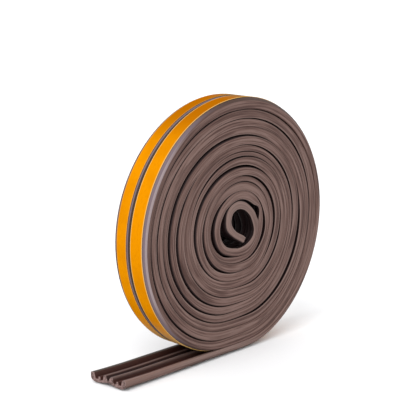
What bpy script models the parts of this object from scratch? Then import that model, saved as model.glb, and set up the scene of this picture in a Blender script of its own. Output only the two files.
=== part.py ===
"""Coil of twin E-profile foam rubber weather seal with its release liners.

The strip stands on its edge: a short tail lies on the floor and runs into a
roll of about thirteen turns. Lengths are in metres, Z is up, the roll's axis is
along Y, and the tail points to -X.
"""

import math

import bmesh
import bpy

# Strip section
PROFILE_WIDTH = 0.0090
STRIP_HEIGHT = 0.0040
BASE_WIDTH = 0.0064
SHOULDER_HEIGHT = 0.0013
LOBE_TAPER = 0.0001
LOBE_ROUNDING = 0.0006
LOBE_WIDTH = 0.0021
MIDDLE_RIB_WIDTH = 0.0013
MIDDLE_RIB_DROP = 0.0005
CHANNEL_FLOOR = 0.0015
CHANNEL_FLARE = 0.0002
NOTCH_DEPTH = 0.0010
PARTING_WIDTH = 0.0008

# Release liner
LINER_THICKNESS = 0.00015
LINER_WIDTH = 0.0064
CLEARANCE = 0.0003

# Roll
COIL_RADIUS = 0.0606
BORE_RADIUS = 0.0075
WINDING_SQUEEZE = 0.0002
OVAL_RATIO = 0.98
SAG = 0.0025
FACE_SET_BACK = 0.0002
TURN_LINE_WIDTH = 0.0006
TURN_LINE_DEPTH = 0.0008
OUTER_STATIONS = 64
LINE_STATIONS = 30

# Loose inner end
CURL = 0.0034
LOOSE_TURNS = 0.52
END_PAST_BOTTOM_TURNS = 0.07
CURL_TAPER_TURNS = 0.10
CURL_CENTRE_X = 0.0015
END_CUT_TURNS = 0.07

# Tail
TAIL_LENGTH = 0.0695
NIP_OFFSET = 0.0020

# Overlap of the cutting bodies
CUTTER_OVERLAP = 0.0010

# Derived sizes
STRIP_WIDTH = 2.0 * PROFILE_WIDTH
BASE_LIFT = LINER_THICKNESS + CLEARANCE
RUBBER_HEIGHT = STRIP_HEIGHT - BASE_LIFT
TURN_PITCH = STRIP_HEIGHT - WINDING_SQUEEZE
FACE_HALF_WIDTH = 0.5 * STRIP_WIDTH - FACE_SET_BACK
FULL_TURN = 2.0 * math.pi
WHOLE_TURNS = round((COIL_RADIUS - BORE_RADIUS) / TURN_PITCH) - 1
END_ANGLE = (WHOLE_TURNS + END_PAST_BOTTOM_TURNS) * FULL_TURN
END_CUT = END_CUT_TURNS * FULL_TURN
CURL_START = END_ANGLE - LOOSE_TURNS * FULL_TURN
CURL_SPAN = (LOOSE_TURNS + CURL_TAPER_TURNS) * FULL_TURN
NIP_ANGLE = math.asin(NIP_OFFSET / COIL_RADIUS)

RUBBER_COLOR = (0.165, 0.105, 0.090, 1.0)
LINER_COLOR = (0.930, 0.340, 0.002, 1.0)


def winding_point(angle):
    """Return x and z of the winding's outer face.

    The angle counts up inwards from the roll's lowest point, first towards
    +X. Each turn is slightly oval, and its bottom is pressed flat.
    """
    radius = COIL_RADIUS - TURN_PITCH * angle / FULL_TURN
    rise = radius * (1.0 - math.cos(angle)) * OVAL_RATIO
    height = math.hypot(rise, SAG) - SAG
    x = radius * math.sin(angle) / OVAL_RATIO
    return x, TURN_PITCH * angle / FULL_TURN + height


def winding_normal(angle):
    """Return the unit vector that points into the roll at an angle."""
    step = 0.001
    ahead = winding_point(angle + step)
    behind = winding_point(angle - step)
    dx = ahead[0] - behind[0]
    dz = ahead[1] - behind[1]
    length = math.hypot(dx, dz)
    return -dz / length, dx / length


def inset_point(angle, depth):
    """Return a point at a depth under the winding's outer face."""
    x, z = winding_point(angle)
    nx, nz = winding_normal(angle)
    return x + nx * depth, z + nz * depth


def angles_between(first, last, per_turn):
    """Return evenly spaced angles from first to last."""
    count = max(2, round(abs(last - first) / FULL_TURN * per_turn))
    return [first + (last - first) * i / count for i in range(count + 1)]


def coil_reach():
    """Return how far the roll reaches along +X from its lowest point."""
    return max(winding_point(a)[0] for a in angles_between(0.0, math.pi, 720))


SHIFT_X = 0.5 * (TAIL_LENGTH - coil_reach())


def curl_centre():
    """Return the point that the loose inner end curls towards."""
    low = winding_point(END_ANGLE)[1]
    high = winding_point(END_ANGLE - 0.5 * FULL_TURN)[1]
    return CURL_CENTRE_X, 0.5 * (low + high)


def loose_shift(angle):
    """Return how far the loose inner end stands off the turn around it."""
    if angle <= CURL_START:
        return 0.0, 0.0
    share = min(1.0, (angle - CURL_START) / CURL_SPAN)
    amount = CURL * math.sin(math.pi * share)
    cx, cz = curl_centre()
    x, z = winding_point(angle)
    length = math.hypot(cx - x, cz - z)
    return amount * (cx - x) / length, amount * (cz - z) / length


def outer_face(angle):
    """Return a point on the outer face of the strip, curl included."""
    x, z = winding_point(angle)
    dx, dz = loose_shift(angle)
    return x + dx, z + dz


def inner_face(angle):
    """Return the point of the strip's inner face at the same angle."""
    x, z = winding_point(angle + FULL_TURN)
    dx, dz = loose_shift(angle)
    return x + dx, z + dz


def rubber_material():
    """Return the brown foam rubber."""
    material = bpy.data.materials.new("foam_rubber_brown")
    material.use_nodes = True
    shader = material.node_tree.nodes["Principled BSDF"]
    shader.inputs["Base Color"].default_value = RUBBER_COLOR
    shader.inputs["Roughness"].default_value = 0.75
    shader.inputs["Metallic"].default_value = 0.0
    return material


def liner_material():
    """Return the orange coated paper of the release liners."""
    material = bpy.data.materials.new("release_paper_orange")
    material.use_nodes = True
    shader = material.node_tree.nodes["Principled BSDF"]
    shader.inputs["Base Color"].default_value = LINER_COLOR
    shader.inputs["Roughness"].default_value = 0.45
    shader.inputs["Metallic"].default_value = 0.0
    return material


def new_collection(name):
    """Return a new collection linked to the scene."""
    collection = bpy.data.collections.new(name)
    bpy.context.scene.collection.children.link(collection)
    return collection


def poly_curve(name, points, closed):
    """Return a 2D curve object with one straight-sided spline."""
    curve = bpy.data.curves.new(name, "CURVE")
    curve.dimensions = "2D"
    spline = curve.splines.new("POLY")
    spline.points.add(len(points) - 1)
    for target, (x, y) in zip(spline.points, points):
        target.co = (x, y, 0.0, 1.0)
    spline.use_cyclic_u = closed
    obj = bpy.data.objects.new(name, curve)
    bpy.context.scene.collection.objects.link(obj)
    return obj


def curve_to_mesh(obj, collection):
    """Replace a curve object by a welded mesh object of the same name."""
    name = obj.name
    bpy.context.view_layer.update()
    depsgraph = bpy.context.evaluated_depsgraph_get()
    mesh = bpy.data.meshes.new_from_object(obj.evaluated_get(depsgraph))
    work = bmesh.new()
    work.from_mesh(mesh)
    bmesh.ops.remove_doubles(work, verts=work.verts, dist=0.000002)
    bmesh.ops.recalc_face_normals(work, faces=work.faces)
    work.to_mesh(mesh)
    work.free()
    matrix = obj.matrix_world.copy()
    bpy.data.objects.remove(obj)
    mesh.name = name
    result = bpy.data.objects.new(name, mesh)
    result.matrix_world = matrix
    collection.objects.link(result)
    return result


def plate(name, outline, half_width, collection):
    """Return a plate of an XZ outline that reaches half_width along Y."""
    obj = poly_curve(name, outline, True)
    obj.data.fill_mode = "BOTH"
    obj.data.extrude = half_width
    obj.rotation_euler = (math.pi / 2.0, 0.0, 0.0)
    obj.location = (SHIFT_X, 0.0, 0.0)
    return curve_to_mesh(obj, collection)


def sweep(name, path, section, centre_y, collection):
    """Return a solid with a YZ section that follows a path in XZ.

    A section point is its offset along Y and its height above the path.
    """
    outline = [(-height, -across) for across, height in section]
    profile = poly_curve(name + "_section", outline, True)
    obj = poly_curve(name, path, False)
    obj.data.bevel_mode = "OBJECT"
    obj.data.bevel_object = profile
    obj.data.use_fill_caps = True
    obj.rotation_euler = (math.pi / 2.0, 0.0, 0.0)
    obj.location = (SHIFT_X, centre_y, 0.0)
    result = curve_to_mesh(obj, collection)
    bpy.data.objects.remove(profile)
    return result


def strip_section():
    """Return the outer contour of the twin profile, ribs not cut yet."""
    half = 0.5 * STRIP_WIDTH
    centre = 0.5 * PROFILE_WIDTH
    base_outer = centre + 0.5 * BASE_WIDTH
    base_inner = centre - 0.5 * BASE_WIDTH
    top = half - LOBE_TAPER
    right = [
        (0.0, NOTCH_DEPTH),
        (base_inner, 0.0),
        (base_outer, 0.0),
        (half - 0.25 * (half - base_outer), 0.55 * SHOULDER_HEIGHT),
        (half, SHOULDER_HEIGHT),
        (top, RUBBER_HEIGHT - LOBE_ROUNDING),
        (top - 0.3 * LOBE_ROUNDING, RUBBER_HEIGHT - 0.3 * LOBE_ROUNDING),
        (top - LOBE_ROUNDING, RUBBER_HEIGHT),
    ]
    left = [(-across, height) for across, height in reversed(right[1:])]
    return [(a, h + BASE_LIFT) for a, h in right + left]


def strip_path():
    """Return the path from the tail's end once around the roll."""
    last = FULL_TURN + 2.0 * NIP_ANGLE
    path = [(-TAIL_LENGTH, 0.0)]
    path += [winding_point(a) for a in angles_between(0.0, last, OUTER_STATIONS)]
    return path


def core_outline():
    """Return the outline of the turns under the outermost one."""
    depth = BASE_LIFT + 0.5 * (SHOULDER_HEIGHT + CHANNEL_FLOOR)
    angles = angles_between(NIP_ANGLE, NIP_ANGLE + FULL_TURN, OUTER_STATIONS)
    return [inset_point(a, depth) for a in angles]


def bore_outline():
    """Return the outline of the bore, with the loose end standing in it."""
    first = CURL_START - FULL_TURN
    last = END_ANGLE + END_CUT
    inner = [inner_face(a) for a in angles_between(first, last, LINE_STATIONS)]
    back = angles_between(END_ANGLE, CURL_START, LINE_STATIONS)
    outer = [outer_face(a) for a in back]
    return inner + outer[:-1]


def channel_outlines():
    """Return the outlines across the strip of the gaps between its ribs."""
    floor = BASE_LIFT + CHANNEL_FLOOR
    top = STRIP_HEIGHT + 0.4 * CLEARANCE
    rib_top = STRIP_HEIGHT - MIDDLE_RIB_DROP
    centre = 0.5 * PROFILE_WIDTH
    wall = centre - LOBE_WIDTH
    rib = 0.5 * MIDDLE_RIB_WIDTH
    pair = [
        (-wall, floor),
        (-rib, floor),
        (-rib, rib_top),
        (rib, rib_top),
        (rib, floor),
        (wall, floor),
        (wall + CHANNEL_FLARE, top),
        (-wall - CHANNEL_FLARE, top),
    ]
    outlines = [[(y - centre, z) for y, z in pair]]
    outlines.append([(y + centre, z) for y, z in pair])
    parting = 0.5 * PARTING_WIDTH
    outlines.append([(0.0, floor), (parting, top), (-parting, top)])
    return outlines


def add_boolean(obj, operation, other):
    """Add an exact Boolean modifier."""
    modifier = obj.modifiers.new(other.name, "BOOLEAN")
    modifier.operation = operation
    modifier.solver = "EXACT"
    modifier.object = other


def as_cutter(obj):
    """Show an object as a construction body only."""
    obj.hide_render = True
    obj.display_type = "WIRE"


def build_channels(collection):
    """Return the bodies that open the gaps between the tail's ribs."""
    first = -TAIL_LENGTH - CUTTER_OVERLAP
    last = NIP_OFFSET + 0.5 * CUTTER_OVERLAP
    cutters = []
    for index, outline in enumerate(channel_outlines()):
        obj = poly_curve(f"channel_{index + 1}", outline, True)
        obj.data.fill_mode = "BOTH"
        obj.data.extrude = 0.5 * (last - first)
        obj.rotation_euler = (math.pi / 2.0, 0.0, math.pi / 2.0)
        obj.location = (SHIFT_X + 0.5 * (first + last), 0.0, 0.0)
        cutters.append(curve_to_mesh(obj, collection))
    return cutters


def build_turn_lines(collection):
    """Return the two bodies that cut the turns' spiral line in the ends."""
    first = FULL_TURN + 0.9 * NIP_ANGLE
    last = CURL_START + 0.05 * FULL_TURN
    path = [outer_face(a) for a in angles_between(first, last, LINE_STATIONS)]
    spread = 0.5 * TURN_LINE_WIDTH
    slope = (TURN_LINE_DEPTH + CUTTER_OVERLAP) / TURN_LINE_DEPTH
    floor = FACE_HALF_WIDTH - TURN_LINE_DEPTH
    mouth = FACE_HALF_WIDTH + CUTTER_OVERLAP
    cutters = []
    for name, side in (("turn_line_front", -1.0), ("turn_line_rear", 1.0)):
        section = [
            (side * floor, 0.0),
            (side * mouth, spread * slope),
            (side * mouth, -spread * slope),
        ]
        cutters.append(sweep(name, path, section, 0.0, collection))
    return cutters


def build_seal_strip(parts, cutters):
    """Return the foam rubber strip as one body, roll and tail."""
    strip = sweep("seal_strip", strip_path(), strip_section(), 0.0, parts)
    for channel in build_channels(cutters):
        as_cutter(channel)
        add_boolean(strip, "DIFFERENCE", channel)
    core = plate("inner_turns", core_outline(), FACE_HALF_WIDTH, cutters)
    as_cutter(core)
    add_boolean(strip, "UNION", core)
    bore = plate("bore", bore_outline(), STRIP_WIDTH, cutters)
    as_cutter(bore)
    add_boolean(strip, "DIFFERENCE", bore)
    for line in build_turn_lines(cutters):
        as_cutter(line)
        add_boolean(strip, "DIFFERENCE", line)
    strip.data.materials.append(rubber_material())
    strip.data.shade_smooth()
    strip.data.set_sharp_from_angle(angle=math.radians(30.0))
    return strip


def liner_last_angle():
    """Return the angle where the liner still clears the tail's ribs."""
    angle = 0.75 * FULL_TURN
    while winding_point(angle)[1] > STRIP_HEIGHT + CLEARANCE:
        angle += 0.002
    return angle - 0.004


def build_liner(name, centre_y, material, parts):
    """Return one release liner, from the tail's end round to the nip."""
    half = 0.5 * LINER_WIDTH
    section = [
        (-half, 0.0),
        (half, 0.0),
        (half, LINER_THICKNESS),
        (-half, LINER_THICKNESS),
    ]
    path = [(-TAIL_LENGTH, 0.0)]
    last = liner_last_angle()
    path += [winding_point(a) for a in angles_between(0.0, last, OUTER_STATIONS)]
    liner = sweep(name, path, section, centre_y, parts)
    liner.data.materials.append(material)
    liner.data.shade_smooth()
    liner.data.set_sharp_from_angle(angle=math.radians(30.0))
    return liner


def build():
    """Build the coil."""
    for obj in list(bpy.data.objects):
        bpy.data.objects.remove(obj)
    parts = new_collection("e_profile_seal_strip")
    cutters = new_collection("construction")
    build_seal_strip(parts, cutters)
    paper = liner_material()
    centre = 0.5 * PROFILE_WIDTH
    build_liner("release_liner_front", -centre, paper, parts)
    build_liner("release_liner_rear", centre, paper, parts)


build()
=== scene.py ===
"""Twin E-profile foam rubber seal strip, coiled with its tail laid out flat.

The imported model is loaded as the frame, and the strip is wound in full around it: every turn of the
extruded profile is parted from the next, the last inner turn stands loose in the bore, and two paper
liners cover the adhesive faces where they show.
"""

import bisect
import logging
import math
from dataclasses import dataclass, replace
from enum import Enum
from typing import Sequence

import bmesh
import bpy
from mathutils import Matrix, Vector, noise


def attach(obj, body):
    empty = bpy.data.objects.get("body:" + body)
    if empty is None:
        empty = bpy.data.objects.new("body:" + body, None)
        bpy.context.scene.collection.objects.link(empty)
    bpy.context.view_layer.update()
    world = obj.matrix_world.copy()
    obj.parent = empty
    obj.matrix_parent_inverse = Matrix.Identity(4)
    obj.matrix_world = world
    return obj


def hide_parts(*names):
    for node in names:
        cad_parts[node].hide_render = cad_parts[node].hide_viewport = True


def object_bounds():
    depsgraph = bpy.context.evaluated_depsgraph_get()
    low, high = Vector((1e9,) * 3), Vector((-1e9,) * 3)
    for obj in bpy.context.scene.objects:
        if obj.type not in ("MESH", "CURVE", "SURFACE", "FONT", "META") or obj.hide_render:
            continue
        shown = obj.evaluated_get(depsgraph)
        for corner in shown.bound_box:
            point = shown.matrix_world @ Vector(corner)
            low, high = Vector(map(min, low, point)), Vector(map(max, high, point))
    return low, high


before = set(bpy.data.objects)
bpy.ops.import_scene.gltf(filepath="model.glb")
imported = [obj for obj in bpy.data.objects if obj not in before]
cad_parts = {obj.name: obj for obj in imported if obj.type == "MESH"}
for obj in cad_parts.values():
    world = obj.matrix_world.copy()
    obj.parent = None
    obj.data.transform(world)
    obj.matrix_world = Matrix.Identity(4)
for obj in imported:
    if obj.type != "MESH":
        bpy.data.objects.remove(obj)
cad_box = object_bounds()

LOG = logging.getLogger("seal_strip_scene")

MM = 0.001
FULL_TURN = 2.0 * math.pi
PLACE_ATTRIBUTE = "strip_place"
STATE_ATTRIBUTE = "strip_state"
CUT_ATTRIBUTE = "strip_cut"
GRID_DIGITS = 5


class Side(Enum):
    """The two E profiles of the strip, by the sign of their place across it."""

    FRONT = -1.0
    REAR = 1.0


# Shader helpers


class Value:
    """A socket with a number in it, on which maths is written as Python expressions."""

    def __init__(self, graph: "Graph", socket: bpy.types.NodeSocket) -> None:
        """Keep the graph that the socket belongs to.

        Args:
            graph: The graph that adds the nodes.
            socket: The output socket that holds the number.
        """
        self.graph = graph
        self.socket = socket

    def _maths(self, operation: str, *values: object) -> "Value":
        """Add one Math node.

        Args:
            operation: The Math node's operation.
            *values: Its inputs, as numbers or wrapped sockets.

        Returns:
            The node's output.
        """
        return self.graph.value("ShaderNodeMath", {"operation": operation}, dict(enumerate(values)))

    def __add__(self, other: object) -> "Value":
        """Return self + other."""
        return self._maths("ADD", self, other)

    def __radd__(self, other: object) -> "Value":
        """Return other + self."""
        return self._maths("ADD", other, self)

    def __sub__(self, other: object) -> "Value":
        """Return self - other."""
        return self._maths("SUBTRACT", self, other)

    def __rsub__(self, other: object) -> "Value":
        """Return other - self."""
        return self._maths("SUBTRACT", other, self)

    def __mul__(self, other: object) -> "Value":
        """Return self * other."""
        return self._maths("MULTIPLY", self, other)

    def magnitude(self) -> "Value":
        """Return the number without its sign."""
        return self._maths("ABSOLUTE", self)

    def ramp(self, low: float, high: float) -> "Value":
        """Map the number to 0..1 with soft ends.

        Args:
            low: The number that becomes 0.
            high: The number that becomes 1.

        Returns:
            The mapped number.
        """
        settings = {"interpolation_type": "SMOOTHSTEP"}
        sockets = {"Value": self, "From Min": low, "From Max": high}
        return self.graph.value("ShaderNodeMapRange", settings, sockets)


class Graph:
    """One material's node tree."""

    def __init__(self, name: str) -> None:
        """Make the material with an empty tree.

        Args:
            name: The material's name.
        """
        self.material = bpy.data.materials.new(name)
        self.material.use_nodes = True
        self.tree = self.material.node_tree
        self.tree.nodes.clear()

    def add(self, kind: str, settings: dict | None = None, sockets: dict | None = None) -> bpy.types.Node:
        """Add a node, set it up, and fill or link its inputs.

        Args:
            kind: The node's type.
            settings: Its properties.
            sockets: Values, sockets or wrapped values for its inputs, by name or number.

        Returns:
            The node.
        """
        node = self.tree.nodes.new(kind)
        for key, setting in (settings or {}).items():
            setattr(node, key, setting)
        for key, given in (sockets or {}).items():
            target = node.inputs[key]
            if isinstance(given, Value):
                given = given.socket
            if isinstance(given, bpy.types.NodeSocket):
                self.tree.links.new(given, target)
            else:
                target.default_value = given
        return node

    def value(
        self, kind: str, settings: dict | None, sockets: dict | None, output: object = 0
    ) -> Value:
        """Add a node and wrap one of its outputs as a number.

        Args:
            kind: The node's type.
            settings: Its properties.
            sockets: Its inputs.
            output: The output's name or number.

        Returns:
            The wrapped output.
        """
        return Value(self, self.add(kind, settings, sockets).outputs[output])

    def blend(self, factor: object, first: object, second: object) -> bpy.types.NodeSocket:
        """Mix two colours.

        Args:
            factor: The share of the second colour.
            first: The colour at 0, as three numbers or a socket.
            second: The colour at 1, as three numbers or a socket.

        Returns:
            The mixed colour.
        """
        sockets = {0: factor, 6: first, 7: second}
        for number in (6, 7):
            if isinstance(sockets[number], tuple):
                sockets[number] = (*sockets[number], 1.0)
        return self.add("ShaderNodeMix", {"data_type": "RGBA", "clamp_factor": True}, sockets).outputs[2]

    def layered(self, base: object, layers: Sequence[tuple]) -> object:
        """Lay colours over a base, each through its own mask.

        Args:
            base: The colour underneath, as three numbers or a socket.
            layers: The mask of each colour, the share of it that shows, and the colour.

        Returns:
            The colour with every layer on it.
        """
        for mask, share, colour in layers:
            base = self.blend(mask * share, base, colour)
        return base

    def bump(self, height: Value, sockets: dict) -> bpy.types.NodeSocket:
        """Add a bump.

        Args:
            height: The relief.
            sockets: Its strength and distance, by name.

        Returns:
            The normal.
        """
        return self.add("ShaderNodeBump", None, {"Height": height, **sockets}).outputs[0]

    def place(self, scale: tuple) -> bpy.types.NodeSocket:
        """Give the strip's own coordinates (along, across, height), stretched.

        Args:
            scale: The factor on each of the three.

        Returns:
            The stretched vector.
        """
        source = self.add("ShaderNodeAttribute", {"attribute_name": PLACE_ATTRIBUTE})
        settings = {"operation": "MULTIPLY"}
        node = self.add("ShaderNodeVectorMath", settings, {0: source.outputs["Vector"], 1: scale})
        return node.outputs[0]

    def parts(self, attribute: str) -> tuple[Value, Value, Value]:
        """Split one of the piece's vector attributes.

        Args:
            attribute: The attribute's name.

        Returns:
            Its three numbers.
        """
        source = self.add("ShaderNodeAttribute", {"attribute_name": attribute})
        node = self.add("ShaderNodeSeparateXYZ", None, {0: source.outputs["Vector"]})
        return tuple(Value(self, output) for output in node.outputs)

    def noise(self, scale: float | tuple, detail: float, roughness: float) -> Value:
        """Add a noise texture.

        Args:
            scale: One scale for the object's coordinates, or one for each of the strip's own.
            detail: Its octaves.
            roughness: How strong the fine octaves are.

        Returns:
            The noise, about 0.5 in the middle.
        """
        if isinstance(scale, tuple):
            vector, scale = self.place(scale), 1.0
        else:
            vector = self.add("ShaderNodeTexCoord").outputs["Object"]
        sockets = {"Vector": vector, "Scale": scale, "Detail": detail, "Roughness": roughness}
        return self.value("ShaderNodeTexNoise", {"noise_dimensions": "3D"}, sockets, "Fac")

    def finish(self, base: object, roughness: object, normal: object, constants: dict) -> bpy.types.Material:
        """Join the shader and the output.

        Args:
            base: The base colour.
            roughness: The roughness.
            normal: The normal.
            constants: Values that are the same all over the surface.

        Returns:
            The material.
        """
        sockets = {"Base Color": base, "Roughness": roughness, "Normal": normal, **constants}
        shader = self.add("ShaderNodeBsdfPrincipled", None, sockets)
        self.add("ShaderNodeOutputMaterial", None, {"Surface": shader.outputs[0]})
        return self.material


# Finishes


@dataclass(frozen=True)
class FoamRubberFinish:
    """Brown foam rubber: a dull skin with fine streaks along the strip and small pores.

    Light and shade are painted into the colour as well: painted sheen, a painted highlight and painted
    shade on the outer turn's corners, painted shade in the channels, on the lobe tops, in the gaps
    between turns and along a crease, and paler painted light on the tail's upper side wall and beside
    open gaps. The pairs are the ends of a soft step, in metres: along the strip from the roll's lowest
    point, across it from its middle, or over its base.
    """

    skin: tuple = (0.118, 0.064, 0.052)
    # light streaks of the skin, and also the base tone of the painted light on the tail's upper side wall
    light_streak_and_lit_tone: tuple = (0.180, 0.112, 0.095)
    # dark streaks, pores and random tone of the skin, and also painted shade along a crease and in a band on
    # the outer turn's left wall
    dark_streak_and_shade: tuple = (0.056, 0.025, 0.019)
    # painted light: a paler tone for the lit upper tail wall near the nip and for the edges beside open gaps
    painted_light_edge: tuple = (0.205, 0.138, 0.119)
    # painted sheen: the glossy skin's reflection on the outer turn's near chamfer and on the notch's rear
    # wall
    violet_sheen: tuple = (0.146, 0.109, 0.126)
    highlight: tuple = (0.290, 0.230, 0.236)
    shade: tuple = (0.050, 0.027, 0.020)
    # painted shade: the tail's lobe tops, darker because the light falls from the side
    lobe_top_shade: tuple = (0.100, 0.062, 0.054)
    # painted shade on the crest of the tail's far outer lobe
    far_crest_shade: tuple = (0.038, 0.028, 0.020)
    # painted shade: the channels between the ribs and lobes, dark where shade falls
    groove_shade: tuple = (0.047, 0.017, 0.013)
    # painted shade: near black in the gaps between wound turns and in the V between the two profiles
    seam_shade: tuple = (0.010, 0.003, 0.003)
    cut_foam: tuple = (0.205, 0.133, 0.123)
    cut_cells: tuple = (0.062, 0.036, 0.031)
    roughness: float = 0.62
    streak_scale: tuple = (26.0, 300.0, 1700.0)
    fine_scale: tuple = (60.0, 900.0, 3400.0)
    tone_scale: tuple = (7.0, 0.0, 0.0)
    pore_scale: float = 2400.0
    cell_scale: float = 1300.0
    roll_start: tuple = (-0.005, 0.030)
    nip: tuple = (-0.048, -0.022)
    left_start: tuple = (0.195, 0.235)
    left_end: tuple = (0.315, 0.345)
    lit_start: tuple = (0.214, 0.250)
    lit_end: tuple = (0.298, 0.324)
    loose_end: tuple = (2.77, 2.80)
    middle: tuple = (-0.001, 0.001)
    parting_side: tuple = (0.0010, 0.0013)
    notch_rear_side: tuple = (0.00055, 0.00080)
    lobe_side: tuple = (0.0026, 0.0031)
    crest_side: tuple = (0.0070, 0.0074)
    inner_side: tuple = (0.0071, 0.0077)
    chamfer_side: tuple = (0.0073, 0.0077)
    wall_side: tuple = (0.0083, 0.0087)
    seam_side: tuple = (0.00845, 0.00870)
    crease_height: float = 0.0004
    crease_wander: float = 0.0017
    crease_edge: tuple = (0.0001, 0.0004)
    corner_height: float = 0.0015
    corner_edge: tuple = (0.0003, 0.0006)
    pale_height: tuple = (0.0010, 0.0028)
    chamfer_height: tuple = (0.0011, 0.0014)
    inner_height: tuple = (0.0012, 0.0015)
    notch_height: tuple = (0.0012, 0.0014)
    wall_height: tuple = (0.0019, 0.0023)
    lobe_height: tuple = (0.0027, 0.0037)
    crest_height: tuple = (0.0036, 0.0039)

    def material(self) -> bpy.types.Material:
        """Build the finish.

        Returns:
            The material.
        """
        graph = Graph("foam_rubber")
        along, across, height = graph.parts(PLACE_ATTRIBUTE)
        wound, share, opened = graph.parts(STATE_ATTRIBUTE)
        side = across.magnitude()
        streaks = graph.noise(self.streak_scale, 3.0, 0.6)
        fine = graph.noise(self.fine_scale, 1.0, 0.5)
        tone = graph.noise(self.tone_scale, 1.0, 0.5)
        pores = graph.noise(self.pore_scale, 2.0, 0.5)
        cells = graph.noise(self.cell_scale, 2.0, 0.6)
        # painted shade: a thin dark line along a wandering crease on the wound turns
        off_crease = (height - self.crease_height - tone * self.crease_wander).magnitude()
        crease_shade = (1.0 - off_crease.ramp(*self.crease_edge)) * wound * tone.ramp(0.42, 0.62)
        on_tail = 1.0 - along.ramp(*self.roll_start)
        # painted light: the tail's side wall paler upwards and towards the nip; the loose end paler too
        pale = on_tail * height.ramp(*self.pale_height) * 0.75 + along.ramp(*self.loose_end) * 0.5
        pale_colour = graph.blend(along.ramp(*self.nip), self.light_streak_and_lit_tone, self.painted_light_edge)
        # painted highlight on the rounded edges beside open gaps between turns
        open_edge = (share - 0.5).magnitude().ramp(0.32, 0.43) * opened * wound
        skin_layers = (
            (streaks.ramp(0.48, 0.60), 1.0, self.light_streak_and_lit_tone),
            ((1.0 - streaks).ramp(0.51, 0.62), 1.0, self.dark_streak_and_shade),
            (fine.ramp(0.53, 0.65), 0.65, self.dark_streak_and_shade),
            ((1.0 - fine).ramp(0.54, 0.68), 0.5, self.light_streak_and_lit_tone),
            (tone.ramp(0.40, 0.70), 0.25, self.dark_streak_and_shade),
            (pores.ramp(0.55, 0.75), 0.25, self.dark_streak_and_shade),
            (crease_shade, 0.45, self.dark_streak_and_shade),
            (pale, 1.0, pale_colour),
            (open_edge, 0.7, self.painted_light_edge),
        )
        colour = graph.layered(self.skin, skin_layers)
        colour = self.outer_turn(graph, colour, along, across, height, 1.0 - wound)
        near_parting = 1.0 - side.ramp(*self.parting_side)
        # painted shade inside the profile: dark channels and darkened lobe tops
        inside_shade = (1.0 - side.ramp(*self.inner_side)) * height.ramp(*self.inner_height)
        lobe = (1.0 - near_parting) * (1.0 - side.ramp(*self.lobe_side)) * height.ramp(*self.lobe_height)
        cut = graph.value("ShaderNodeAttribute", {"attribute_name": CUT_ATTRIBUTE}, None, "Fac")
        inner_layers = (
            (inside_shade, 1.0, graph.blend(lobe, self.groove_shade, self.lobe_top_shade)),
            # painted shade in the V between the two profiles and over the wound turns' faces inside the gaps
            (inside_shade * near_parting, 0.8, self.seam_shade),
            (wound * (1.0 - side.ramp(*self.seam_side)), 1.0, self.seam_shade),
            (cut, 1.0, graph.blend(cells.ramp(0.42, 0.64), self.cut_foam, self.cut_cells)),
        )
        colour = graph.layered(colour, inner_layers)
        relief = pores * 0.5 + streaks * 0.9 + fine * 0.4
        normal = graph.bump(relief, {"Strength": 0.4, "Distance": 0.0003})
        rough = self.roughness + (streaks - 0.5) * 0.25
        return graph.finish(colour, rough, normal, {"Specular IOR Level": 0.22})

    def outer_turn(
        self, graph: Graph, colour: object, along: Value, across: Value, height: Value, outer: Value
    ) -> bpy.types.NodeSocket:
        """Paint light and shade on the corners that only the outer turn and the tail show: painted sheen
        and shade on the chamfer, a painted highlight and a painted shade band on the side wall on the
        roll's left, painted shade on the far crest, and painted shade and sheen in the notch.

        Args:
            graph: The graph.
            colour: The colour so far.
            along: The place along the strip.
            across: The place across it.
            height: The height over its base.
            outer: How much the strip lies outermost.

        Returns:
            The colour with the corners in it.
        """
        side = across.magnitude()
        near = 1.0 - across.ramp(*self.middle)
        on_left = along.ramp(*self.left_start) * (1.0 - along.ramp(*self.left_end))
        lit = along.ramp(*self.lit_start) * (1.0 - along.ramp(*self.lit_end))
        chamfer = side.ramp(*self.chamfer_side) * (1.0 - height.ramp(*self.chamfer_height))
        chamfer_share = along.ramp(*self.roll_start) * 0.45 + 0.40
        wall = side.ramp(*self.wall_side)
        wall_shade_band = wall * height.ramp(*self.wall_height)
        corner = 1.0 - (height - self.corner_height).magnitude().ramp(*self.corner_edge)
        crest = across.ramp(*self.crest_side) * height.ramp(*self.crest_height)
        notch = (1.0 - side.ramp(*self.parting_side)) * (1.0 - height.ramp(*self.notch_height))
        notch_rear = across.ramp(*self.notch_rear_side)
        layers = (
            # painted sheen on the near chamfer on the roll's left, painted shade on the rest of the chamfer
            (chamfer * chamfer_share * outer, 1.0, graph.blend(on_left * near, self.shade, self.violet_sheen)),
            # painted shade band on the outer turn's side wall on the roll's left
            (wall_shade_band * on_left * outer, 0.35, self.dark_streak_and_shade),
            # painted highlight on the near corner, where the light falls
            (corner * wall * lit * near * outer, 0.85, self.highlight),
            # painted shade on the far crest
            (crest * outer, 1.0, self.far_crest_shade),
            # painted shade on the notch's near wall, painted sheen on its rear wall
            (notch * outer, 1.0, graph.blend(notch_rear, self.shade, self.violet_sheen)),
        )
        return graph.layered(colour, layers)


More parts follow.
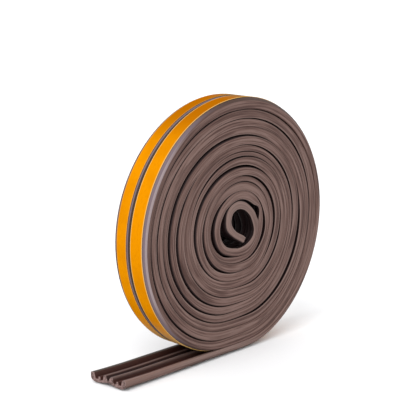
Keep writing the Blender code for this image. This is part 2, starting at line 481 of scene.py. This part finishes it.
@dataclass(frozen=True)
class ReleasePaperFinish:
    """Orange silicone-coated release paper: smooth and dull, with faint fibres.

    The colour has painted light and shade: painted shade and a painted grazing reflection near the
    top of the roll, and a painted reflection of the pale floor near its foot. The pairs are the ends of
    a soft step, in metres along the strip from the roll's lowest point.
    """

    face: tuple = (0.575, 0.201, 0.0005)
    deep: tuple = (0.475, 0.156, 0.0005)
    # painted shade: deeper orange on the upper part of the roll
    upper: tuple = (0.330, 0.098, 0.0006)
    # painted grazing reflection and shade at the top of the roll
    tan_reflection: tuple = (0.205, 0.124, 0.052)
    # painted reflection of the pale floor where the liner turns under at the roll's foot
    foot_reflection: tuple = (0.500, 0.320, 0.140)
    edge: tuple = (0.640, 0.390, 0.120)
    roughness: float = 0.60
    fibre_scale: tuple = (500.0, 900.0, 900.0)
    cloud_scale: float = 90.0
    top_start: tuple = (0.12, 0.15)
    tan_end: tuple = (0.179, 0.198)
    upper_end: tuple = (0.210, 0.243)
    foot_start: tuple = (0.311, 0.335)

    def material(self) -> bpy.types.Material:
        """Build the finish.

        Returns:
            The material.
        """
        graph = Graph("release_paper")
        along, _, _ = graph.parts(PLACE_ATTRIBUTE)
        share, paleness, _ = graph.parts(STATE_ATTRIBUTE)
        fibres = graph.noise(self.fibre_scale, 3.0, 0.6)
        cloud = graph.noise(self.cloud_scale, 2.0, 0.5)
        over_top = along.ramp(*self.top_start)
        rim = (share - 0.5).magnitude().ramp(0.450, 0.475)
        layers = (
            (cloud.ramp(0.38, 0.68), 0.5, self.deep),
            (fibres.ramp(0.48, 0.70), 0.45, self.deep),
            # painted shade and painted grazing reflection near the top of the roll
            (over_top * (1.0 - along.ramp(*self.upper_end)), 1.0, self.upper),
            (over_top * (1.0 - along.ramp(*self.tan_end)), 0.9, self.tan_reflection),
            # painted reflection of the pale floor near the roll's foot
            (along.ramp(*self.foot_start), 0.85, self.foot_reflection),
            (rim * paleness, 1.0, self.edge),
        )
        colour = graph.layered(self.face, layers)
        normal = graph.bump(fibres, {"Strength": 0.2, "Distance": 0.0001})
        rough = self.roughness + (fibres - 0.5) * 0.25
        return graph.finish(colour, rough, normal, {"Specular IOR Level": 0.0})


# The winding: where each stretch of the strip lies


@dataclass(frozen=True)
class Profile:
    """Numbers at places along the winding, in order, with a smooth line through them."""

    places: Sequence[float]
    numbers: Sequence[float]

    def at(self, turns: float) -> float:
        """Give the number at a place.

        Args:
            turns: The place, in turns.

        Returns:
            The number on the line, level beyond both ends.
        """
        places, numbers = self.places, self.numbers
        if turns <= places[0]:
            return numbers[0]
        if turns >= places[-1]:
            return numbers[-1]
        index = bisect.bisect_right(places, turns) - 1
        low, high = max(0, index - 1), min(len(places) - 1, index + 2)
        span = places[index + 1] - places[index]
        share = (turns - places[index]) / span
        slope_here = (numbers[index + 1] - numbers[low]) / (places[index + 1] - places[low]) * span
        slope_after = (numbers[high] - numbers[index]) / (places[high] - places[index]) * span
        square, cube = share * share, share**3
        return (
            numbers[index] * (2.0 * cube - 3.0 * square + 1.0)
            + slope_here * (cube - 2.0 * square + share)
            + numbers[index + 1] * (3.0 * square - 2.0 * cube)
            + slope_after * (cube - square)
        )


@dataclass
class Winding:
    """The line of the strip's outer face, from the tail's cut end to the loose end in the bore.

    Places on it are counted in turns from the roll's lowest point, inwards, first towards +X. A place
    below 0 lies on the tail. Each turn sits a little in or out of the even spiral, and the gap beside
    it opens and closes, as hand-wound foam does. Its own points are in the roll's plane, as x and z
    from the roll's lowest point, and the tail's end in the frame says where that is.
    """

    tail_end: float
    coil_radius: float = 0.0606
    pitch: float = 0.0038
    oval: float = 0.98
    sag: float = 0.0025
    tail: float = 0.0695
    last_turn: float = 13.07
    # how far each turn lies in from the even spiral, in millimetres, at five places round it, up to
    # where the loose turn starts
    lay_places: tuple = (0.0, 0.18, 0.5, 0.75, 0.92)
    lay: tuple = (
        (0.0, 0.0, 0.0, 0.3, 0.3),
        (0.2, 0.7, 1.7, 0.8, 1.0),
        (0.5, 2.0, 1.9, 0.5, 1.3),
        (0.8, 1.3, 1.7, 0.1, 1.4),
        (0.9, 2.0, 1.9, -0.4, 1.0),
        (0.7, 3.5, 2.4, 0.5, 1.1),
        (0.2, 1.7, 1.6, 0.7, 1.4),
        (0.0, -0.1, 0.2, 0.2, 1.2),
        (0.0, 0.7, 0.8, -0.4, 0.5),
        (-0.4, 1.6, 1.4, 0.7, 0.7),
        (-0.6, 1.2, 0.2, -0.2, 0.8),
        (-0.2, 1.2, 0.6, -0.4, -0.2),
        (-1.1,),
    )
    # where the gap outside a turn opens and closes: the place in turns, and its width in millimetres
    gaps: tuple = (
        (1.33, 0.0), (1.42, 0.3), (1.50, 0.15), (1.58, 0.4), (1.70, 0.15), (1.85, 0.5), (2.0, 0.0),
        (2.15, 0.0), (2.38, 0.4), (2.55, 0.1), (2.71, 0.4), (2.90, 0.1), (3.2, 0.0), (3.65, 0.0),
        (3.85, 0.4), (4.0, 0.2), (4.17, 1.2), (4.33, 0.0), (4.50, 0.4), (4.70, 1.2), (4.85, 0.6),
        (5.0, 0.1), (5.17, 0.0), (5.33, 0.6), (5.58, 0.0), (5.77, 0.8), (6.0, 0.1), (6.3, 0.0),
        (6.5, 0.2), (6.62, 0.0), (6.85, 0.2), (7.0, 0.1), (7.35, 0.0), (7.60, 0.5), (7.75, 0.0),
        (8.0, 0.1), (8.17, 0.5), (8.33, 0.0), (8.50, 0.6), (8.70, 1.2), (8.87, 0.3), (9.08, 0.0),
        (9.27, 0.9), (9.42, 0.5), (9.58, 0.0), (9.85, 0.7), (10.0, 0.1), (10.3, 0.0), (10.45, 0.2),
        (10.8, 0.0), (11.0, 0.1), (11.1, 0.5), (11.21, 1.4), (11.33, 0.3), (11.58, 0.3),
        (11.75, 2.0), (11.88, 0.9), (12.0, 0.1), (12.25, 0.1), (12.33, 2.7), (12.38, 1.2),
        (12.5, 0.4), (12.6, 0.3), (12.67, 1.0), (12.8, 3.4),
    )
    # the loose turn's outer face in millimetres from the roll's lowest point, every 24th of a turn
    loose: tuple = (
        (0.7, 44.5), (4.8, 44.8), (8.5, 46.4), (11.3, 49.2), (12.9, 52.6), (13.5, 56.1),
        (13.0, 59.4), (11.7, 62.2), (9.9, 64.5), (7.9, 66.2), (5.8, 67.7), (3.5, 68.9),
        (0.8, 69.6), (-2.0, 69.6), (-4.8, 68.8), (-7.4, 67.3), (-9.0, 64.9), (-9.4, 62.4),
        (-9.35, 60.0), (-8.85, 57.9), (-7.7, 56.2), (-6.1, 54.85), (-4.3, 53.6), (-2.3, 52.4),
        (-0.35, 51.35), (1.6, 50.4), (3.5, 49.55),
    )
    # its inner face at the same places
    loose_inner: tuple = (
        (0.9, 48.2), (4.0, 48.7), (6.6, 49.8), (8.7, 51.2), (10.0, 52.9), (10.25, 55.4),
        (9.5, 57.8), (8.4, 60.0), (7.2, 61.8), (5.8, 63.1), (4.4, 64.2), (2.7, 65.05),
        (0.7, 65.6), (-1.3, 65.65), (-3.0, 65.1), (-4.3, 64.2), (-5.0, 62.9), (-5.3, 61.5),
        (-5.25, 60.2), (-4.75, 59.0), (-3.9, 57.8), (-2.9, 56.8), (-1.7, 55.85), (-0.2, 55.0),
        (1.4, 54.25), (3.1, 53.4), (5.2, 52.2),
    )
    loose_step: float = 1.0 / 24.0
    loose_start: float = 12.0
    tail_rise: float = 0.016
    end_rise: float = 0.0005
    rise_length: float = 0.022
    cut_skew: float = 0.0025
    skew_length: float = 0.012
    strip_width: float = 0.018
    tail_room: float = 0.002

    def __post_init__(self) -> None:
        """Make the smooth lines through the chosen places."""
        lay = [
            (turn + place, number)
            for turn, row in enumerate(self.lay)
            for place, number in zip(self.lay_places, row)
        ]
        self.lay_line = Profile([place for place, _ in lay], [number * MM for _, number in lay])
        self.gap_line = Profile([place for place, _ in self.gaps], [gap * MM for _, gap in self.gaps])
        self.loose_lines = self.lines_through(self.loose)
        self.loose_inner_lines = self.lines_through(self.loose_inner)

    def lines_through(self, points: Sequence[Sequence[float]]) -> list[Profile]:
        """Make the smooth lines through the points of one face of the loose turn.

        Args:
            points: The points, in millimetres.

        Returns:
            The lines of their shifts from the even spiral, in x and in z.
        """
        places = [self.loose_start + index * self.loose_step for index in range(len(points))]
        shifts = [Vector(point) * MM - self.even_point(turns) for point, turns in zip(points, places)]
        return [Profile(places, [shift[axis] for shift in shifts]) for axis in (0, 1)]

    def even_point(self, turns: float) -> Vector:
        """Give the even spiral's point, before the turns are set in or out.

        Args:
            turns: The place.

        Returns:
            The point in the roll's plane, as x and z.
        """
        angle = turns * FULL_TURN
        radius = self.coil_radius - self.pitch * turns
        rise = radius * (1.0 - math.cos(angle)) * self.oval
        height = math.hypot(rise, self.sag) - self.sag
        return Vector((radius * math.sin(angle) / self.oval, self.pitch * turns + height))

    def even_normal(self, turns: float) -> Vector:
        """Give the direction into the roll, square to the even spiral.

        Args:
            turns: The place.

        Returns:
            The unit vector.
        """
        step = 0.0002
        along = self.even_point(turns + step) - self.even_point(turns - step)
        return Vector((-along.y, along.x)).normalized()

    def outer_point(self, turns: float) -> Vector:
        """Give the outer face's point, liner included.

        Args:
            turns: The place.

        Returns:
            The point as x and z, in the roll's plane.
        """
        if turns <= 0.0:
            along = turns * FULL_TURN * self.coil_radius
            left = max(0.0, 1.0 - (along + self.tail) / self.rise_length)
            return Vector((along, self.end_rise * left * left))
        point = self.even_point(turns)
        if turns < self.loose_start:
            return point + self.even_normal(turns) * self.lay_line.at(turns)
        return point + Vector([line.at(turns) for line in self.loose_lines])

    def loose_through(self, turns: float) -> Vector:
        """Give the way through the loose turn, from its outer face to its inner one.

        Args:
            turns: The place.

        Returns:
            The vector in the roll's plane.
        """
        inner = self.even_point(turns) + Vector([line.at(turns) for line in self.loose_inner_lines])
        return inner - self.outer_point(turns)

    def cut_lag(self, along: float, across: float) -> float:
        """Give how far a point near the tail's end is set back, because the cut is not square.

        Args:
            along: The place along the strip.
            across: The place across it.

        Returns:
            The distance in metres.
        """
        left = max(0.0, 1.0 - (along + self.tail) / self.skew_length)
        return self.cut_skew * left * (0.5 - across / self.strip_width)

    def normal(self, turns: float) -> Vector:
        """Give the direction into the roll, square to the strip as it lies.

        Args:
            turns: The place.

        Returns:
            The unit vector.
        """
        if turns >= self.loose_start:
            return self.loose_through(turns).normalized()
        step = 0.012
        along = self.outer_point(turns + step) - self.outer_point(turns - step)
        return Vector((-along.y, along.x)).normalized()

    def room(self, turns: float) -> float:
        """Give the space between a turn's outer face and the next one's.

        Args:
            turns: The place.

        Returns:
            The distance in metres.
        """
        if turns < 0.0:
            rise = min(1.0, -turns * FULL_TURN * self.coil_radius / self.tail_rise)
            return self.room(0.0) + rise * self.tail_room
        return (self.outer_point(turns + 1.0) - self.outer_point(turns)).dot(self.normal(turns))

    def walk(self, places: Sequence[float], start: float) -> list[tuple[float, Vector, Vector, float]]:
        """Go along the outer face.

        Args:
            places: The places to stop at, in order.
            start: How many metres along the strip the first one is.

        Returns:
            Each stop's place, its point, the direction into the roll, and the metres along.
        """
        stops = []
        along, last = start, None
        for turns in places:
            point = self.outer_point(turns)
            along += (point - last).length if last is not None else 0.0
            last = point
            into = self.normal(turns) if turns > 0.0 else Vector((0.0, 1.0))
            stops.append((turns, point, into, along))
        return stops

    def spot(self, point: Vector, into: Vector, along: float, across: float, height: float) -> Vector:
        """Place one point of a section in the frame.

        Args:
            point: The outer face's point.
            into: The direction into the roll.
            along: The place along the strip.
            across: The place across it.
            height: The height over its outer face.

        Returns:
            The point in the frame.
        """
        flat = point + into * height
        shift = self.tail_end + self.tail + self.cut_lag(along, across)
        return Vector((flat.x + shift, across, flat.y))


@dataclass
class Station:
    """One place along the strip where its section stands."""

    point: Vector
    into: Vector
    along: float
    thickness: float
    wound: float
    outer_gap: float
    inner_gap: float
    tuck: float


@dataclass
class StripRoute:
    """Splits the strip's length into stations."""

    winding: Winding
    tail_steps: int = 40
    outer_steps: int = 108
    inner_steps: int = 84
    end_steps: int = 10
    free_height: float = 0.0040
    loose_height: float = 0.0041
    least_gap: float = 0.00003
    settle: float = 0.18
    thinning_turns: float = 10.0
    wound_from: float = 0.90
    wound_over: float = 0.10
    side_wander: float = 0.00016
    slow_waves: float = 1.7
    quick_waves: float = 5.0
    quick_share: float = 0.7

    def places(self) -> list[float]:
        """Give the stations' places.

        Returns:
            The places in turns, from the tail's cut end inwards.
        """
        winding = self.winding
        tail = winding.tail / (FULL_TURN * winding.coil_radius)
        found = [-tail * (1.0 - step / self.tail_steps) for step in range(self.tail_steps)]
        whole = int(winding.last_turn)
        for turn in range(whole):
            share = min(1.0, turn / self.thinning_turns)
            steps = round(self.outer_steps + (self.inner_steps - self.outer_steps) * share)
            found += [turn + step / steps for step in range(steps)]
        left = winding.last_turn - whole
        return found + [whole + left * step / self.end_steps for step in range(self.end_steps + 1)]

    def thickness(self, turns: float, inner_gap: float) -> float:
        """Give the strip's height at a place, liner included.

        Args:
            turns: The place.
            inner_gap: The open gap on its inner side.

        Returns:
            The height in metres.
        """
        winding = self.winding
        if turns >= winding.loose_start:
            return winding.loose_through(turns).length
        room = winding.room(turns) - inner_gap
        if turns < 0.0:
            return min(self.free_height, room)
        if turns > winding.loose_start - 1.0:
            late = max(0.0, (turns - winding.loose_start) / self.settle + 1.0)
            end_height = winding.loose_through(winding.loose_start).length
            return min(self.loose_height + (end_height - self.loose_height) * late, room)
        return room

    def wander(self, turns: float) -> float:
        """Give how far the strip's edges stand out of the roll's flat ends.

        Args:
            turns: The place.

        Returns:
            The distance in metres.
        """
        slow = noise.noise(Vector((turns * self.slow_waves, 4.0, 1.0)))
        quick = noise.noise(Vector((turns * self.quick_waves, 9.0, 2.0)))
        return (slow + self.quick_share * quick) * self.side_wander

    def stations(self) -> list[Station]:
        """Lay out every station.

        Returns:
            The stations from the tail's cut end inwards.
        """
        winding = self.winding
        found: list[Station] = []
        for turns, point, into, along in winding.walk(self.places(), -winding.tail):
            inner_gap = max(self.least_gap, winding.gap_line.at(turns + 1.0) if turns > 0.0 else 0.0)
            outer_gap = max(self.least_gap, winding.gap_line.at(turns))
            thickness = self.thickness(turns, inner_gap)
            wound = min(1.0, max(0.0, (turns - self.wound_from) / self.wound_over))
            tuck = self.wander(turns) * wound
            found.append(Station(point, into, along, thickness, wound, outer_gap, inner_gap, tuck))
        return found


# Sweeping a section along the route


class Sweep:
    """A grid rolled into a tube: its columns are stations, its rows are points of the section."""

    def __init__(self, name: str, station_count: int, point_count: int) -> None:
        """Make the flat grid.

        Args:
            name: The name of the piece.
            station_count: How many stations it has.
            point_count: How many points its section has.
        """
        self.name = name
        self.mesh = bmesh.new()
        self.place = self.mesh.verts.layers.float_vector.new(PLACE_ATTRIBUTE)
        self.state = self.mesh.verts.layers.float_vector.new(STATE_ATTRIBUTE)
        made = bmesh.ops.create_grid(
            self.mesh, x_segments=station_count - 1, y_segments=point_count, size=1.0
        )["verts"]
        ordered = sorted(made, key=lambda vert: tuple(round(number, GRID_DIGITS) for number in vert.co[:2]))
        rows = point_count + 1
        self.rings = [ordered[index * rows:(index + 1) * rows] for index in range(station_count)]

    def set_ring(
        self, index: int, spots: Sequence[Vector], places: Sequence[Vector], states: Sequence[Vector]
    ) -> None:
        """Move one station's vertices.

        Args:
            index: The station's number.
            spots: The points in the frame.
            places: The strip's own coordinates of the same points.
            states: Three numbers of each point that its finish reads.
        """
        ring = self.rings[index]
        for vert, spot, place, state in zip(
            ring, [*spots, spots[0]], [*places, places[0]], [*states, states[0]]
        ):
            vert.co = spot
            vert[self.place] = place
            vert[self.state] = state

    def finish(self, sharp_angle: float) -> bpy.types.Object:
        """Close the tube and its ends and make it an object.

        Args:
            sharp_angle: Edges sharper than this angle, in degrees, are shaded as edges.

        Returns:
            The object.
        """
        bmesh.ops.weld_verts(self.mesh, targetmap={ring[-1]: ring[0] for ring in self.rings})
        cut = self.mesh.faces.layers.float.new(CUT_ATTRIBUTE)
        rims = [edge for edge in self.mesh.edges if edge.is_boundary]
        ends = bmesh.ops.holes_fill(self.mesh, edges=rims, sides=0)
        for face in ends["faces"]:
            face[cut] = 1.0
        bmesh.ops.recalc_face_normals(self.mesh, faces=self.mesh.faces[:])
        data = bpy.data.meshes.new(self.name)
        self.mesh.to_mesh(data)
        self.mesh.free()
        data.polygons.foreach_set("use_smooth", [True] * len(data.polygons))
        data.set_sharp_from_angle(angle=math.radians(sharp_angle))
        piece = bpy.data.objects.new(self.name, data)
        bpy.context.scene.collection.objects.link(piece)
        return piece


# The strip


@dataclass(frozen=True)
class SectionShape:
    """One shape of the twin E section. The strip's section anywhere is a mix of a few of these."""

    side: float = 0.0090
    top: float = 0.0040
    base: float = 0.00015
    shoulder_across: float = 0.0075
    shoulder_base: float = 0.00015
    shoulder_height: float = 0.0014
    shoulder_radius: float = 0.0005
    side_radius: float = 0.0005
    crest_radius: float = 0.0004
    crest_across: float = 0.0071
    lobe_foot: float = 0.0066
    channel_floor: float = 0.0015
    rib_centre: float = 0.0046
    rib_foot: float = 0.0008
    rib_half_width: float = 0.00035
    rib_drop: float = 0.0012
    inner_foot: float = 0.0027
    inner_crest: float = 0.0023
    parting_crest: float = 0.0012
    parting_drop: float = 0.0025
    notch_half_width: float = 0.0012
    notch_depth: float = 0.0010
    notch_radius: float = 0.0005
    crest_edge_radius: float = 0.0004
    foot_radius: float = 0.0003
    rib_radius: float = 0.0002

    def corners(self) -> list[tuple[float, float, float, int]]:
        """Give the corners of the rear half, from the base's middle round to the top's.

        Returns:
            Places across, heights, rounding radii and the rounding's segments.
        """
        rib, rib_top = self.rib_centre, self.top - self.rib_drop
        floor = self.channel_floor
        return [
            (0.0, self.base + self.notch_depth, 0.0, 0),
            (self.notch_half_width, self.base, self.notch_radius, 2),
            (self.shoulder_across, self.shoulder_base, self.shoulder_radius, 3),
            (self.side, self.shoulder_height, self.side_radius, 3),
            (self.side, self.top, self.crest_radius, 3),
            (self.crest_across, self.top, self.crest_edge_radius, 2),
            (self.lobe_foot, floor, self.foot_radius, 1),
            (rib + self.rib_foot, floor, self.rib_radius, 1),
            (rib + self.rib_half_width, rib_top, self.rib_radius, 1),
            (rib - self.rib_half_width, rib_top, self.rib_radius, 1),
            (rib - self.rib_foot, floor, self.rib_radius, 1),
            (self.inner_foot, floor, self.foot_radius, 1),
            (self.inner_crest, self.top, self.foot_radius, 1),
            (self.parting_crest, self.top, self.foot_radius, 1),
            (0.0, self.top - self.parting_drop, 0.0, 0),
        ]

    def outline(self) -> list[tuple[float, float]]:
        """Round the corners with the bevel operator.

        Returns:
            The section's points in order, as places across and heights.
        """
        half = self.corners()
        mirrored = [(-across, *others) for across, *others in reversed(half[1:-1])]
        whole = half + mirrored
        section = bmesh.new()
        verts = [section.verts.new((across, height, 0.0)) for across, height, _, _ in whole]
        section.faces.new(verts)
        first = verts[0]
        for vert, (_, _, radius, segments) in zip(verts, whole):
            if radius > 0.0:
                bmesh.ops.bevel(
                    section, geom=[vert], offset=radius, offset_type="OFFSET", segments=segments,
                    profile=0.5, affect="VERTICES", clamp_overlap=True, material=-1,
                )
        section.faces.ensure_lookup_table()
        loops = list(section.faces[0].loops)
        start = next(index for index, loop in enumerate(loops) if loop.vert == first)
        ordered = loops[start:] + loops[:start]
        points = [(loop.vert.co.x, loop.vert.co.y) for loop in ordered]
        section.free()
        return points


@dataclass
class SealStrip:
    """The extruded twin E profile, swept along its whole route."""

    route: StripRoute
    finish: FoamRubberFinish
    free: SectionShape = SectionShape()
    tail_base: SectionShape = SectionShape(
        shoulder_across=0.0068, shoulder_height=0.0015, shoulder_radius=0.0009, side_radius=0.0010
    )
    cut_base: SectionShape = SectionShape(
        shoulder_across=0.0074, shoulder_height=0.0012, shoulder_radius=0.0008, side_radius=0.0008,
        notch_half_width=0.0050, parting_drop=0.0024,
    )
    closed: SectionShape = SectionShape(
        side=0.0088, shoulder_across=0.0086, shoulder_base=0.00001, shoulder_height=0.0005,
        shoulder_radius=0.00005, side_radius=0.0002, crest_radius=0.00004,
    )
    open_base: SectionShape = replace(
        closed, shoulder_across=0.0080, shoulder_base=0.00005, shoulder_height=0.0008,
        shoulder_radius=0.0004, side_radius=0.0005,
    )
    open_top: SectionShape = replace(closed, crest_radius=0.00045)
    full_open_gap: float = 0.0005
    cut_length: float = 0.008
    tail_blend: float = 0.02
    side_band: float = 0.0009
    sharp_angle: float = 35.0

    def section_at(self, station: Station, outlines: dict[str, list]) -> list[tuple[float, float]]:
        """Mix the section's shapes for a station.

        Args:
            station: The station.
            outlines: The rounded outline of each shape, by name.

        Returns:
            The section's points, as places across and heights.
        """
        base_open = min(1.0, station.outer_gap / self.full_open_gap)
        top_open = min(1.0, station.inner_gap / self.full_open_gap)
        on_tail = min(1.0, max(0.0, 1.0 - station.along / self.tail_blend))
        at_cut = max(0.0, 1.0 - (station.along + self.route.winding.tail) / self.cut_length)
        mixes = [
            (("free", 1.0 - on_tail), ("tail_base", on_tail - at_cut), ("cut_base", at_cut)),
            (("closed", 1.0 - base_open - top_open), ("open_base", base_open), ("open_top", top_open)),
        ]
        points = []
        stretch = (station.thickness - self.free.base) / (self.free.top - self.free.base)
        for index in range(len(outlines["free"])):
            mixed = []
            for mix in mixes:
                across = sum(share * outlines[name][index][0] for name, share in mix)
                height = sum(share * outlines[name][index][1] for name, share in mix)
                mixed.append((across, height))
            (free_across, free_height), (wound_across, wound_height) = mixed
            across = free_across + (wound_across - free_across) * station.wound
            height = free_height + (wound_height - free_height) * station.wound
            if abs(across) > self.free.side - self.side_band:
                across += math.copysign(station.tuck, across)
            if height > self.free.base:
                height = self.free.base + (height - self.free.base) * stretch
            points.append((across, height))
        return points

    def build(self) -> bpy.types.Object:
        """Sweep the section along the route and close its ends.

        Returns:
            The strip.
        """
        outlines = {
            name: getattr(self, name).outline()
            for name in ("free", "tail_base", "cut_base", "closed", "open_base", "open_top")
        }
        stations = self.route.stations()
        winding = self.route.winding
        sweep = Sweep("wound_seal_strip", len(stations), len(outlines["free"]))
        for index, station in enumerate(stations):
            spots, places, states = [], [], []
            section = self.section_at(station, outlines)
            for (across, height), (_, free_height) in zip(section, outlines["free"]):
                spots.append(winding.spot(station.point, station.into, station.along, across, height))
                places.append(Vector((station.along, across, free_height)))
                share = height / station.thickness
                gap = station.outer_gap if share < 0.5 else station.inner_gap
                states.append(Vector((station.wound, share, min(1.0, gap / self.full_open_gap))))
            sweep.set_ring(index, spots, places, states)
        return sweep.finish(self.sharp_angle)

    def dress(self, strip: bpy.types.Object) -> None:
        """Give the strip its finish and its place in the frame.

        Args:
            strip: The strip.
        """
        strip.data.materials.append(self.finish.material())
        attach(strip, "root")
        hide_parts("seal_strip")


@dataclass
class ReleaseLiner:
    """One paper liner, from under the tail round to the nip.

    It is narrow where the strip hides it, and grows to its full width on the visible turn.
    """

    side: Side
    route: StripRoute
    finish: ReleasePaperFinish
    inner_edge: float = 0.00125
    hidden_inner_edge: float = 0.0017
    outer_edge: float = 0.0078
    hidden_edge: float = 0.0058
    paleness: float = 1.0
    thickness: float = 0.00015
    set_back: float = 0.0045
    last_turn: float = 0.955
    tail_steps: int = 24
    wound_steps: int = 120
    shown_from: float = 0.13
    shown_over: float = 0.06
    sharp_angle: float = 40.0

    def build(self) -> bpy.types.Object:
        """Sweep the paper's section along the outer face.

        Returns:
            The liner.
        """
        corners = [(0.0, 0.0), (1.0, 0.0), (1.0, self.thickness), (0.0, self.thickness)]
        winding = self.route.winding
        first = self.set_back - winding.tail
        tail = -first / (FULL_TURN * winding.coil_radius)
        steps = [-tail * (1.0 - step / self.tail_steps) for step in range(self.tail_steps)]
        steps += [self.last_turn * step / self.wound_steps for step in range(self.wound_steps + 1)]
        stops = winding.walk(steps, first)
        sweep = Sweep(f"paper_liner_{self.side.name.lower()}", len(stops), len(corners))
        for index, (_, point, into, along) in enumerate(stops):
            spots, places, states = [], [], []
            shown = min(1.0, max(0.0, (along - self.shown_from) / self.shown_over))
            start = self.hidden_inner_edge + (self.inner_edge - self.hidden_inner_edge) * shown
            reach = self.hidden_edge + (self.outer_edge - self.hidden_edge) * shown
            for share, height in corners:
                across = (start + (reach - start) * share) * self.side.value
                spots.append(winding.spot(point, into, along, across, height))
                places.append(Vector((along, across, height)))
                states.append(Vector((share, self.paleness, 0.0)))
            sweep.set_ring(index, spots, places, states)
        return sweep.finish(self.sharp_angle)

    def dress(self, liner: bpy.types.Object) -> None:
        """Give the liner its finish and its place in the frame.

        Args:
            liner: The liner.
        """
        liner.data.materials.append(self.finish.material())
        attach(liner, "root")
        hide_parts(f"release_liner_{self.side.name.lower()}")


# Studio


@dataclass
class Studio:
    """A pale floor, soft light and the camera."""

    azimuth: float = -47.9006
    elevation: float = 11.3483
    roll: float = 1.8568
    distance: float = 0.43703
    focal_pixels: float = 1022.84
    frame_pixels: float = 400.0
    sensor: float = 36.0
    near_clip: float = 0.01
    target: tuple = (-0.0121832, 0.0, 0.070479)
    floor_size: float = 6.0
    floor_colour: tuple = (0.785, 0.785, 0.789)
    floor_cloud: tuple = (0.77, 0.77, 0.774)
    floor_roughness: float = 0.9
    cloud_scale: float = 3.0
    key_from: tuple = (-0.90, -0.24, 1.0)
    key_strength: float = 2.0
    key_width: float = 42.0
    sky_colour: tuple = (0.99, 1.0, 1.01, 1.0)
    sky_strength: float = 1.15

    def camera(self) -> None:
        """Set the camera at the photograph's angle."""
        azimuth, elevation, turn = map(math.radians, (self.azimuth, self.elevation, self.roll))
        right = Vector((math.cos(azimuth), math.sin(azimuth), 0.0))
        level_back = Vector((math.sin(azimuth), -math.cos(azimuth), 0.0))
        back = level_back * math.cos(elevation) + Vector((0.0, 0.0, math.sin(elevation)))
        up = back.cross(right)
        turned_right = right * math.cos(turn) + up * math.sin(turn)
        turned_up = up * math.cos(turn) - right * math.sin(turn)
        data = bpy.data.cameras.new("photo_camera")
        data.sensor_width = self.sensor
        data.lens = self.focal_pixels * self.sensor / self.frame_pixels
        data.clip_start = self.near_clip
        camera = bpy.data.objects.new("photo_camera", data)
        rotation = Matrix((turned_right, turned_up, back)).transposed().to_4x4()
        camera.matrix_world = Matrix.Translation(Vector(self.target) + back * self.distance) @ rotation
        bpy.context.scene.collection.objects.link(camera)
        bpy.context.scene.camera = camera

    def floor(self) -> None:
        """Lay the pale floor."""
        mesh = bmesh.new()
        bmesh.ops.create_grid(mesh, x_segments=1, y_segments=1, size=0.5 * self.floor_size)
        data = bpy.data.meshes.new("studio_floor")
        mesh.to_mesh(data)
        mesh.free()
        graph = Graph("studio_floor")
        tone = graph.noise(self.cloud_scale, 2.0, 0.5)
        colour = graph.layered(self.floor_colour, ((tone, 0.1, self.floor_cloud),))
        normal = graph.bump(tone, {"Strength": 0.02})
        constants = {"Specular IOR Level": 0.1}
        data.materials.append(graph.finish(colour, self.floor_roughness, normal, constants))
        floor = bpy.data.objects.new("studio_floor", data)
        bpy.context.scene.collection.objects.link(floor)

    def key_light(self) -> None:
        """Shine one wide soft light from the upper left."""
        data = bpy.data.lights.new("key", "SUN")
        data.energy = self.key_strength
        data.angle = math.radians(self.key_width)
        light = bpy.data.objects.new("key", data)
        light.matrix_world = (-Vector(self.key_from)).to_track_quat("-Z", "Y").to_matrix().to_4x4()
        bpy.context.scene.collection.objects.link(light)

    def sky(self) -> None:
        """Light the scene evenly from all round."""
        world = bpy.data.worlds.new("studio")
        world.use_nodes = True
        background = world.node_tree.nodes["Background"]
        background.inputs["Color"].default_value = self.sky_colour
        background.inputs["Strength"].default_value = self.sky_strength
        bpy.context.scene.world = world
        bpy.context.scene.view_settings.view_transform = "Standard"

    def build(self) -> None:
        """Set up the whole studio."""
        self.camera()
        self.floor()
        self.key_light()
        self.sky()


def main() -> None:
    """Build the studio and every piece of the object."""
    logging.basicConfig(level=logging.INFO, format="%(name)s: %(message)s")
    Studio().build()
    route = StripRoute(Winding(tail_end=cad_box[0][0]))
    strip = SealStrip(route, FoamRubberFinish())
    piece = strip.build()
    strip.dress(piece)
    LOG.info("seal strip: %d faces", len(piece.data.polygons))
    liners = (
        ReleaseLiner(Side.FRONT, route, ReleasePaperFinish()),
        ReleaseLiner(Side.REAR, route, ReleasePaperFinish(), outer_edge=0.0066, paleness=0.4),
    )
    for liner in liners:
        paper = liner.build()
        liner.dress(paper)
        LOG.info("liner %s: %d faces", liner.side.name.lower(), len(paper.data.polygons))


if __name__ == "__main__":
    main()
